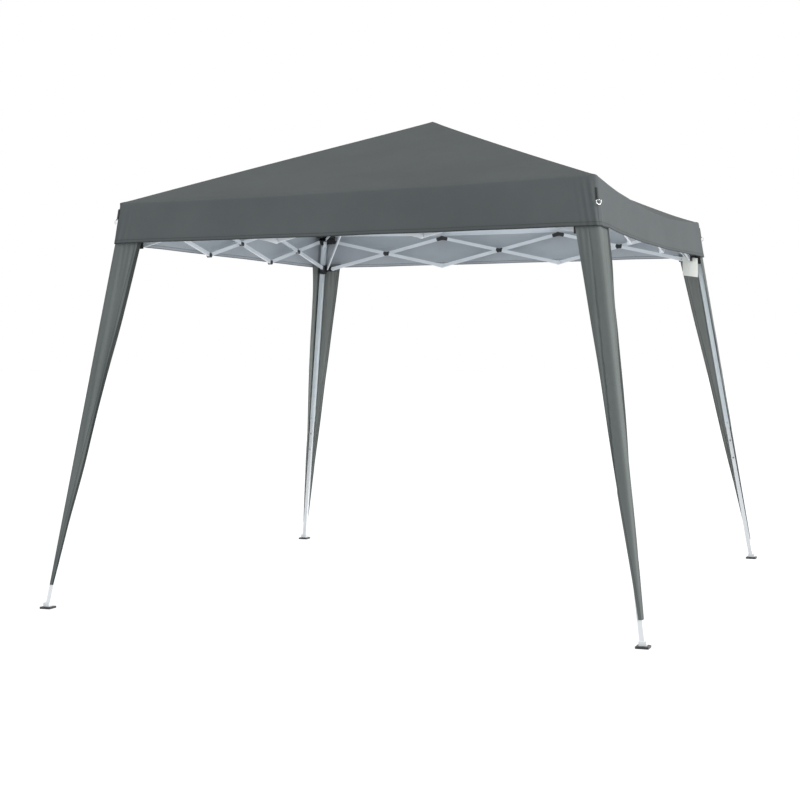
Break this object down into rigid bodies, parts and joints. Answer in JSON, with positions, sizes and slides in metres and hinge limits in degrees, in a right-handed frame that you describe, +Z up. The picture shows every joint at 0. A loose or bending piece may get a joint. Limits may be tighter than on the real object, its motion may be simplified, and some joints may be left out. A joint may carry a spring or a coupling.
{
  "type": "slant-leg pop-up gazebo",
  "caption": "Square slant-leg pop-up gazebo with a pyramid canopy, scissor truss sides, telescopic legs with cloth skirts and a folding roof frame.",
  "frame": {"origin": "centre of the footprint on the ground", "axes": "+Z up, -Y is the front, +X to the right seen from the front"},
  "size_m": [3.058, 3.058, 2.529],
  "materials": {
    "connector": "moulded black plastic",
    "upper_tube": "satin powder coat",
    "lower_tube": "satin powder coat",
    "frame_paint": "satin silver",
    "pin_steel": "plated",
    "ring_steel": "plated wire",
    "roof_cloth": "coated polyester, silvered underside",
    "skirt_cloth": "coated polyester"
  },
  "bodies": {
    "top_connector_fl": {"top_connector_fl": "connector", "canopy": "roof_cloth", "leg_skirts": "skirt_cloth", "guy_rings": "ring_steel"},
    "top_connector_fr": {"top_connector_fr": "connector"},
    "top_connector_br": {"top_connector_br": "connector"},
    "top_connector_bl": {"top_connector_bl": "connector"},
    "upper_leg_fl": {"upper_leg_fl": "upper_tube"},
    "upper_leg_fr": {"upper_leg_fr": "upper_tube"},
    "upper_leg_br": {"upper_leg_br": "upper_tube"},
    "upper_leg_bl": {"upper_leg_bl": "upper_tube"},
    "lower_leg_fl": {"lower_leg_fl": "lower_tube"},
    "lower_leg_fr": {"lower_leg_fr": "lower_tube"},
    "lower_leg_br": {"lower_leg_br": "lower_tube"},
    "lower_leg_bl": {"lower_leg_bl": "lower_tube"},
    "leg_button_fl": {"leg_button_fl": "pin_steel"},
    "leg_button_fr": {"leg_button_fr": "pin_steel"},
    "leg_button_br": {"leg_button_br": "pin_steel"},
    "leg_button_bl": {"leg_button_bl": "pin_steel"},
    "slider_fl": {"slider_fl": "connector"},
    "slider_fr": {"slider_fr": "connector"},
    "slider_br": {"slider_br": "connector"},
    "slider_bl": {"slider_bl": "connector"},
    "roof_rod_outer_fl": {"roof_rod_outer_fl": "frame_paint"},
    "roof_rod_outer_fr": {"roof_rod_outer_fr": "frame_paint"},
    "roof_rod_outer_br": {"roof_rod_outer_br": "frame_paint"},
    "roof_rod_outer_bl": {"roof_rod_outer_bl": "frame_paint"},
    "roof_rod_inner_fl": {"roof_rod_inner_fl": "frame_paint"},
    "roof_rod_inner_fr": {"roof_rod_inner_fr": "frame_paint"},
    "roof_rod_inner_br": {"roof_rod_inner_br": "frame_paint"},
    "roof_rod_inner_bl": {"roof_rod_inner_bl": "frame_paint"},
    "roof_strut_fl": {"roof_strut_fl": "frame_paint"},
    "roof_strut_fr": {"roof_strut_fr": "frame_paint"},
    "roof_strut_br": {"roof_strut_br": "frame_paint"},
    "roof_strut_bl": {"roof_strut_bl": "frame_paint"},
    "bar_front_a1": {"bar_front_a1": "frame_paint"},
    "bar_front_a2": {"bar_front_a2": "frame_paint"},
    "bar_front_a3": {"bar_front_a3": "frame_paint"},
    "bar_front_b1": {"bar_front_b1": "frame_paint"},
    "bar_front_b2": {"bar_front_b2": "frame_paint"},
    "bar_front_b3": {"bar_front_b3": "frame_paint"},
    "bar_right_a1": {"bar_right_a1": "frame_paint"},
    "bar_right_a2": {"bar_right_a2": "frame_paint"},
    "bar_right_a3": {"bar_right_a3": "frame_paint"},
    "bar_right_b1": {"bar_right_b1": "frame_paint"},
    "bar_right_b2": {"bar_right_b2": "frame_paint"},
    "bar_right_b3": {"bar_right_b3": "frame_paint"},
    "bar_back_a1": {"bar_back_a1": "frame_paint"},
    "bar_back_a2": {"bar_back_a2": "frame_paint"},
    "bar_back_a3": {"bar_back_a3": "frame_paint"},
    "bar_back_b1": {"bar_back_b1": "frame_paint"},
    "bar_back_b2": {"bar_back_b2": "frame_paint"},
    "bar_back_b3": {"bar_back_b3": "frame_paint"},
    "bar_left_a1": {"bar_left_a1": "frame_paint"},
    "bar_left_a2": {"bar_left_a2": "frame_paint"},
    "bar_left_a3": {"bar_left_a3": "frame_paint"},
    "bar_left_b1": {"bar_left_b1": "frame_paint"},
    "bar_left_b2": {"bar_left_b2": "frame_paint"},
    "bar_left_b3": {"bar_left_b3": "frame_paint"},
    "roof_hub": {"roof_hub": "connector"}
  },
  "joints": [
    {"name": "truss_right_end", "type": "hinge", "parent": "top_connector_br", "child": "bar_right_b3", "pos_m": [1.185, 1.135, 1.985], "axis": [1, 0, 0], "range_deg": [0, 61.98]},
    {"name": "truss_right_b3", "type": "hinge", "parent": "bar_right_b3", "child": "bar_right_a2", "pos_m": [1.185, 0.37833, 1.81], "axis": [1, 0, 0], "range_deg": [-123.96, 0]},
    {"name": "truss_right_a2", "type": "hinge", "parent": "bar_right_a2", "child": "bar_right_b1", "pos_m": [1.185, -0.37833, 1.985], "axis": [1, 0, 0], "range_deg": [0, 123.96]},
    {"name": "truss_right_b1", "type": "hinge", "parent": "bar_right_b1", "child": "bar_right_a1", "pos_m": [1.185, -0.75667, 1.8975], "axis": [1, 0, 0], "range_deg": [-123.96, 0]},
    {"name": "truss_right_a1", "type": "hinge", "parent": "bar_right_a1", "child": "top_connector_fr", "pos_m": [1.185, -1.135, 1.985], "axis": [1, 0, 0], "range_deg": [0, 61.98]},
    {"name": "truss_front_end", "type": "hinge", "parent": "top_connector_fr", "child": "bar_front_b3", "pos_m": [1.135, -1.185, 1.985], "axis": [0, -1, 0], "range_deg": [0, 61.98]},
    {"name": "truss_front_b3", "type": "hinge", "parent": "bar_front_b3", "child": "bar_front_a2", "pos_m": [0.37833, -1.185, 1.81], "axis": [0, -1, 0], "range_deg": [-123.96, 0]},
    {"name": "truss_front_a2", "type": "hinge", "parent": "bar_front_a2", "child": "bar_front_b1", "pos_m": [-0.37833, -1.185, 1.985], "axis": [0, -1, 0], "range_deg": [0, 123.96]},
    {"name": "truss_front_b1", "type": "hinge", "parent": "bar_front_b1", "child": "bar_front_a1", "pos_m": [-0.75667, -1.185, 1.8975], "axis": [0, -1, 0], "range_deg": [-123.96, 0]},
    {"name": "fold", "type": "hinge", "parent": "bar_front_a1", "child": "top_connector_fl", "pos_m": [-1.135, -1.185, 1.985], "axis": [0, -1, 0], "range_deg": [0, 61.98], "deforming": ["canopy", "leg_skirts", "guy_rings"]},
    {"name": "truss_front_b2", "type": "hinge", "parent": "bar_front_a1", "child": "bar_front_b2", "pos_m": [-0.37833, -1.185, 1.81], "axis": [0, 1, 0], "range_deg": [-123.96, 0]},
    {"name": "truss_front_a3", "type": "hinge", "parent": "bar_front_b2", "child": "bar_front_a3", "pos_m": [0.37833, -1.185, 1.985], "axis": [0, 1, 0], "range_deg": [0, 123.96]},
    {"name": "truss_right_b2", "type": "hinge", "parent": "bar_right_a1", "child": "bar_right_b2", "pos_m": [1.185, -0.37833, 1.81], "axis": [-1, 0, 0], "range_deg": [-123.96, 0]},
    {"name": "truss_right_a3", "type": "hinge", "parent": "bar_right_b2", "child": "bar_right_a3", "pos_m": [1.185, 0.37833, 1.985], "axis": [-1, 0, 0], "range_deg": [0, 123.96]},
    {"name": "truss_left_b3", "type": "hinge", "parent": "top_connector_fl", "child": "bar_left_b3", "pos_m": [-1.185, -1.135, 1.985], "axis": [1, 0, 0], "range_deg": [-61.98, 0]},
    {"name": "truss_left_a3", "type": "hinge", "parent": "bar_left_b3", "child": "bar_left_a3", "pos_m": [-1.185, -0.75667, 1.8975], "axis": [1, 0, 0], "range_deg": [0, 123.96]},
    {"name": "truss_left_a2", "type": "hinge", "parent": "bar_left_b3", "child": "bar_left_a2", "pos_m": [-1.185, -0.37833, 1.81], "axis": [1, 0, 0], "range_deg": [0, 123.96]},
    {"name": "truss_left_b2", "type": "hinge", "parent": "bar_left_a3", "child": "bar_left_b2", "pos_m": [-1.185, -0.37833, 1.985], "axis": [1, 0, 0], "range_deg": [-123.96, 0]},
    {"name": "truss_left_b1", "type": "hinge", "parent": "bar_left_a2", "child": "bar_left_b1", "pos_m": [-1.185, 0.37833, 1.985], "axis": [1, 0, 0], "range_deg": [-123.96, 0]},
    {"name": "truss_left_a1", "type": "hinge", "parent": "bar_left_b2", "child": "bar_left_a1", "pos_m": [-1.185, 0.37833, 1.81], "axis": [1, 0, 0], "range_deg": [0, 123.96]},
    {"name": "truss_left_end", "type": "hinge", "parent": "bar_left_a1", "child": "top_connector_bl", "pos_m": [-1.185, 1.135, 1.985], "axis": [1, 0, 0], "range_deg": [-61.98, 0]},
    {"name": "truss_back_b3", "type": "hinge", "parent": "top_connector_bl", "child": "bar_back_b3", "pos_m": [-1.135, 1.185, 1.985], "axis": [0, -1, 0], "range_deg": [-61.98, 0]},
    {"name": "truss_back_a3", "type": "hinge", "parent": "bar_back_b3", "child": "bar_back_a3", "pos_m": [-0.75667, 1.185, 1.8975], "axis": [0, -1, 0], "range_deg": [0, 123.96]},
    {"name": "truss_back_a2", "type": "hinge", "parent": "bar_back_b3", "child": "bar_back_a2", "pos_m": [-0.37833, 1.185, 1.81], "axis": [0, -1, 0], "range_deg": [0, 123.96]},
    {"name": "truss_back_b2", "type": "hinge", "parent": "bar_back_a3", "child": "bar_back_b2", "pos_m": [-0.37833, 1.185, 1.985], "axis": [0, -1, 0], "range_deg": [-123.96, 0]},
    {"name": "truss_back_b1", "type": "hinge", "parent": "bar_back_a2", "child": "bar_back_b1", "pos_m": [0.37833, 1.185, 1.985], "axis": [0, -1, 0], "range_deg": [-123.96, 0]},
    {"name": "truss_back_a1", "type": "hinge", "parent": "bar_back_b2", "child": "bar_back_a1", "pos_m": [0.37833, 1.185, 1.81], "axis": [0, -1, 0], "range_deg": [0, 123.96]},
    {"name": "leg_tilt_fl", "type": "hinge", "parent": "top_connector_fl", "child": "upper_leg_fl", "pos_m": [-1.2, -1.2, 1.985], "axis": [0.7071, -0.7071, 0], "range_deg": [0, 9.36]},
    {"name": "slider_fl_travel", "type": "slide", "parent": "upper_leg_fl", "child": "slider_fl", "axis": [-0.1478, -0.1478, -0.9779], "range_m": [0, 0.58736]},
    {"name": "strut_fl_pivot", "type": "hinge", "parent": "slider_fl", "child": "roof_strut_fl", "pos_m": [-1.1773, -1.17094, 1.81], "axis": [-0.7071, 0.7071, 0], "range_deg": [-24.35, 0]},
    {"name": "roof_outer_fl_pivot", "type": "hinge", "parent": "top_connector_fl", "child": "roof_rod_outer_fl", "pos_m": [-1.16217, -1.17419, 1.997], "axis": [-0.7071, 0.7071, 0], "range_deg": [0, 86.61]},
    {"name": "roof_knuckle_fl", "type": "hinge", "parent": "roof_rod_outer_fl", "child": "roof_rod_inner_fl", "pos_m": [-0.69988, -0.68786, 2.19714], "axis": [-0.7071, 0.7071, 0], "range_deg": [-149.09, 0]},
    {"name": "roof_hub_pivot", "type": "hinge", "parent": "roof_rod_inner_fl", "child": "roof_hub", "pos_m": [-0.04137, -0.02934, 2.475], "axis": [-0.7071, 0.7071, 0], "range_deg": [0, 62.48]},
    {"name": "leg_extension_fl", "type": "slide", "parent": "upper_leg_fl", "child": "lower_leg_fl", "axis": [0.1478, 0.1478, 0.9779], "range_m": [0, 0.216]},
    {"name": "leg_button_fl_press", "type": "slide", "parent": "upper_leg_fl", "child": "leg_button_fl", "axis": [0.011, -0.989, 0.1478], "range_m": [0, 0.0035], "stiffness_N_per_m": 400},
    {"name": "leg_tilt_fr", "type": "hinge", "parent": "top_connector_fr", "child": "upper_leg_fr", "pos_m": [1.2, -1.2, 1.985], "axis": [0.7071, 0.7071, 0], "range_deg": [0, 9.36]},
    {"name": "slider_fr_travel", "type": "slide", "parent": "upper_leg_fr", "child": "slider_fr", "axis": [0.1478, -0.1478, -0.9779], "range_m": [0, 0.58736]},
    {"name": "strut_fr_pivot", "type": "hinge", "parent": "slider_fr", "child": "roof_strut_fr", "pos_m": [1.1773, -1.17094, 1.81], "axis": [-0.7071, -0.7071, 0], "range_deg": [-24.35, 0]},
    {"name": "roof_outer_fr_pivot", "type": "hinge", "parent": "top_connector_fr", "child": "roof_rod_outer_fr", "pos_m": [1.16217, -1.17419, 1.997], "axis": [-0.7071, -0.7071, 0], "range_deg": [0, 86.61]},
    {"name": "roof_inner_fr_pivot", "type": "hinge", "parent": "roof_hub", "child": "roof_rod_inner_fr", "pos_m": [0.04137, -0.02934, 2.475], "axis": [-0.7071, -0.7071, 0], "range_deg": [-62.48, 0]},
    {"name": "leg_extension_fr", "type": "slide", "parent": "upper_leg_fr", "child": "lower_leg_fr", "axis": [-0.1478, 0.1478, 0.9779], "range_m": [0, 0.216]},
    {"name": "leg_button_fr_press", "type": "slide", "parent": "upper_leg_fr", "child": "leg_button_fr", "axis": [-0.011, -0.989, 0.1478], "range_m": [0, 0.0035], "stiffness_N_per_m": 400},
    {"name": "leg_tilt_br", "type": "hinge", "parent": "top_connector_br", "child": "upper_leg_br", "pos_m": [1.2, 1.2, 1.985], "axis": [-0.7071, 0.7071, 0], "range_deg": [0, 9.36]},
    {"name": "slider_br_travel", "type": "slide", "parent": "upper_leg_br", "child": "slider_br", "axis": [0.1478, 0.1478, -0.9779], "range_m": [0, 0.58736]},
    {"name": "strut_br_pivot", "type": "hinge", "parent": "slider_br", "child": "roof_strut_br", "pos_m": [1.1773, 1.17094, 1.81], "axis": [0.7071, -0.7071, 0], "range_deg": [-24.35, 0]},
    {"name": "roof_outer_br_pivot", "type": "hinge", "parent": "top_connector_br", "child": "roof_rod_outer_br", "pos_m": [1.16217, 1.17419, 1.997], "axis": [0.7071, -0.7071, 0], "range_deg": [0, 86.61]},
    {"name": "roof_inner_br_pivot", "type": "hinge", "parent": "roof_hub", "child": "roof_rod_inner_br", "pos_m": [0.04137, 0.02934, 2.475], "axis": [0.7071, -0.7071, 0], "range_deg": [-62.48, 0]},
    {"name": "leg_extension_br", "type": "slide", "parent": "upper_leg_br", "child": "lower_leg_br", "axis": [-0.1478, -0.1478, 0.9779], "range_m": [0, 0.216]},
    {"name": "leg_button_br_press", "type": "slide", "parent": "upper_leg_br", "child": "leg_button_br", "axis": [-0.011, 0.989, 0.1478], "range_m": [0, 0.0035], "stiffness_N_per_m": 400},
    {"name": "leg_tilt_bl", "type": "hinge", "parent": "top_connector_bl", "child": "upper_leg_bl", "pos_m": [-1.2, 1.2, 1.985], "axis": [-0.7071, -0.7071, 0], "range_deg": [0, 9.36]},
    {"name": "slider_bl_travel", "type": "slide", "parent": "upper_leg_bl", "child": "slider_bl", "axis": [-0.1478, 0.1478, -0.9779], "range_m": [0, 0.58736]},
    {"name": "strut_bl_pivot", "type": "hinge", "parent": "slider_bl", "child": "roof_strut_bl", "pos_m": [-1.17094, 1.1773, 1.81], "axis": [0.7071, 0.7071, 0], "range_deg": [-24.35, 0]},
    {"name": "roof_outer_bl_pivot", "type": "hinge", "parent": "top_connector_bl", "child": "roof_rod_outer_bl", "pos_m": [-1.17419, 1.16217, 1.997], "axis": [0.7071, 0.7071, 0], "range_deg": [0, 86.61]},
    {"name": "roof_inner_bl_pivot", "type": "hinge", "parent": "roof_hub", "child": "roof_rod_inner_bl", "pos_m": [-0.02934, 0.04137, 2.475], "axis": [0.7071, 0.7071, 0], "range_deg": [-62.48, 0]},
    {"name": "leg_extension_bl", "type": "slide", "parent": "upper_leg_bl", "child": "lower_leg_bl", "axis": [0.1478, -0.1478, 0.9779], "range_m": [0, 0.216]},
    {"name": "leg_button_bl_press", "type": "slide", "parent": "upper_leg_bl", "child": "leg_button_bl", "axis": [0.011, 0.989, 0.1478], "range_m": [0, 0.0035], "stiffness_N_per_m": 400}
  ],
  "couplings": [
    {"joint": "truss_front_b1", "follows": "fold", "ratio": -2},
    {"joint": "truss_front_b2", "follows": "fold", "ratio": -2},
    {"joint": "truss_front_a2", "follows": "fold", "ratio": 2},
    {"joint": "truss_front_a3", "follows": "fold", "ratio": 2},
    {"joint": "truss_front_b3", "follows": "fold", "ratio": -2},
    {"joint": "truss_front_end", "follows": "fold", "ratio": 1},
    {"joint": "truss_right_a1", "follows": "fold", "ratio": 1},
    {"joint": "truss_right_b1", "follows": "fold", "ratio": -2},
    {"joint": "truss_right_b2", "follows": "fold", "ratio": -2},
    {"joint": "truss_right_a2", "follows": "fold", "ratio": 2},
    {"joint": "truss_right_a3", "follows": "fold", "ratio": 2},
    {"joint": "truss_right_b3", "follows": "fold", "ratio": -2},
    {"joint": "truss_right_end", "follows": "fold", "ratio": 1},
    {"joint": "truss_left_b3", "follows": "fold", "ratio": -1},
    {"joint": "truss_left_a3", "follows": "fold", "ratio": 2},
    {"joint": "truss_left_a2", "follows": "fold", "ratio": 2},
    {"joint": "truss_left_b2", "follows": "fold", "ratio": -2},
    {"joint": "truss_left_b1", "follows": "fold", "ratio": -2},
    {"joint": "truss_left_a1", "follows": "fold", "ratio": 2},
    {"joint": "truss_left_end", "follows": "fold", "ratio": -1},
    {"joint": "truss_back_b3", "follows": "fold", "ratio": -1},
    {"joint": "truss_back_a3", "follows": "fold", "ratio": 2},
    {"joint": "truss_back_a2", "follows": "fold", "ratio": 2},
    {"joint": "truss_back_b2", "follows": "fold", "ratio": -2},
    {"joint": "truss_back_b1", "follows": "fold", "ratio": -2},
    {"joint": "truss_back_a1", "follows": "fold", "ratio": 2},
    {"joint": "leg_tilt_fl", "follows": "fold", "ratio": 0.15103},
    {"joint": "slider_fl_travel", "follows": "fold", "m_per_rad": 0.54299},
    {"joint": "strut_fl_pivot", "follows": "fold", "ratio": -0.39294},
    {"joint": "roof_outer_fl_pivot", "follows": "fold", "ratio": 1.3975},
    {"joint": "roof_knuckle_fl", "follows": "fold", "ratio": -2.4056},
    {"joint": "roof_hub_pivot", "follows": "fold", "ratio": 1.0081},
    {"joint": "leg_tilt_fr", "follows": "fold", "ratio": 0.15103},
    {"joint": "slider_fr_travel", "follows": "fold", "m_per_rad": 0.54299},
    {"joint": "strut_fr_pivot", "follows": "fold", "ratio": -0.39294},
    {"joint": "roof_outer_fr_pivot", "follows": "fold", "ratio": 1.3975},
    {"joint": "roof_inner_fr_pivot", "follows": "fold", "ratio": -1.0081},
    {"joint": "leg_tilt_br", "follows": "fold", "ratio": 0.15103},
    {"joint": "slider_br_travel", "follows": "fold", "m_per_rad": 0.54299},
    {"joint": "strut_br_pivot", "follows": "fold", "ratio": -0.39294},
    {"joint": "roof_outer_br_pivot", "follows": "fold", "ratio": 1.3975},
    {"joint": "roof_inner_br_pivot", "follows": "fold", "ratio": -1.0081},
    {"joint": "leg_tilt_bl", "follows": "fold", "ratio": 0.15103},
    {"joint": "slider_bl_travel", "follows": "fold", "m_per_rad": 0.54299},
    {"joint": "strut_bl_pivot", "follows": "fold", "ratio": -0.39294},
    {"joint": "roof_outer_bl_pivot", "follows": "fold", "ratio": 1.3975},
    {"joint": "roof_inner_bl_pivot", "follows": "fold", "ratio": -1.0081}
  ]
}
